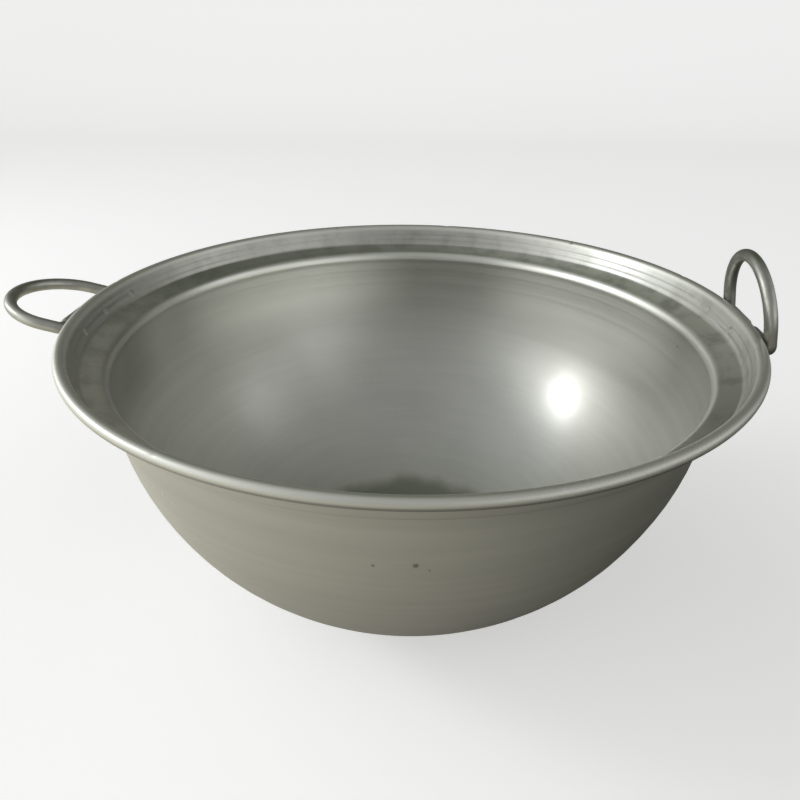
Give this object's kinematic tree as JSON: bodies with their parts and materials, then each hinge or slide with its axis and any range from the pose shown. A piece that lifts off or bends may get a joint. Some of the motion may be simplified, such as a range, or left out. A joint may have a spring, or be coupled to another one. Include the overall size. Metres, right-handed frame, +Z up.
{
  "type": "brew kettle",
  "caption": "Wide open round-bottomed boiling pan of spun aluminium, with a rolled rim, a sloping ledge inside the rim and swinging loop handles.",
  "frame": {"origin": "centre of the small flat underneath that the pan stands on", "axes": "+Z up along the pan's axis, handles on the X axis: the left one at -X, the right one at +X"},
  "size_m": [0.7972, 0.7, 0.4029],
  "materials": {
    "spun_sheet": "satin, spun, dulled by use",
    "handle_rod": "satin, worn bright on the bends",
    "cast_lug": "as cast, matt",
    "rivets": "satin",
    "wire": "drawn wire"
  },
  "bodies": {
    "pan": {"pot_shell": "spun_sheet", "rim_wire": "wire", "left_hinge_bracket": "cast_lug", "right_hinge_bracket": "cast_lug", "left_rivets": "rivets", "right_rivets": "rivets"},
    "left_loop": {"left_handle": "handle_rod"},
    "right_loop": {"right_handle": "handle_rod"}
  },
  "joints": [
    {"name": "left_handle_hinge", "type": "hinge", "parent": "pan", "child": "left_loop", "pos_m": [-0.354, 0, 0.3205], "axis": [0, 1, 0], "range_deg": [-103, 88.5]},
    {"name": "right_handle_hinge", "type": "hinge", "parent": "pan", "child": "right_loop", "pos_m": [0.354, 0, 0.3205], "axis": [0, -1, 0], "range_deg": [-190.5, 1]}
  ]
}
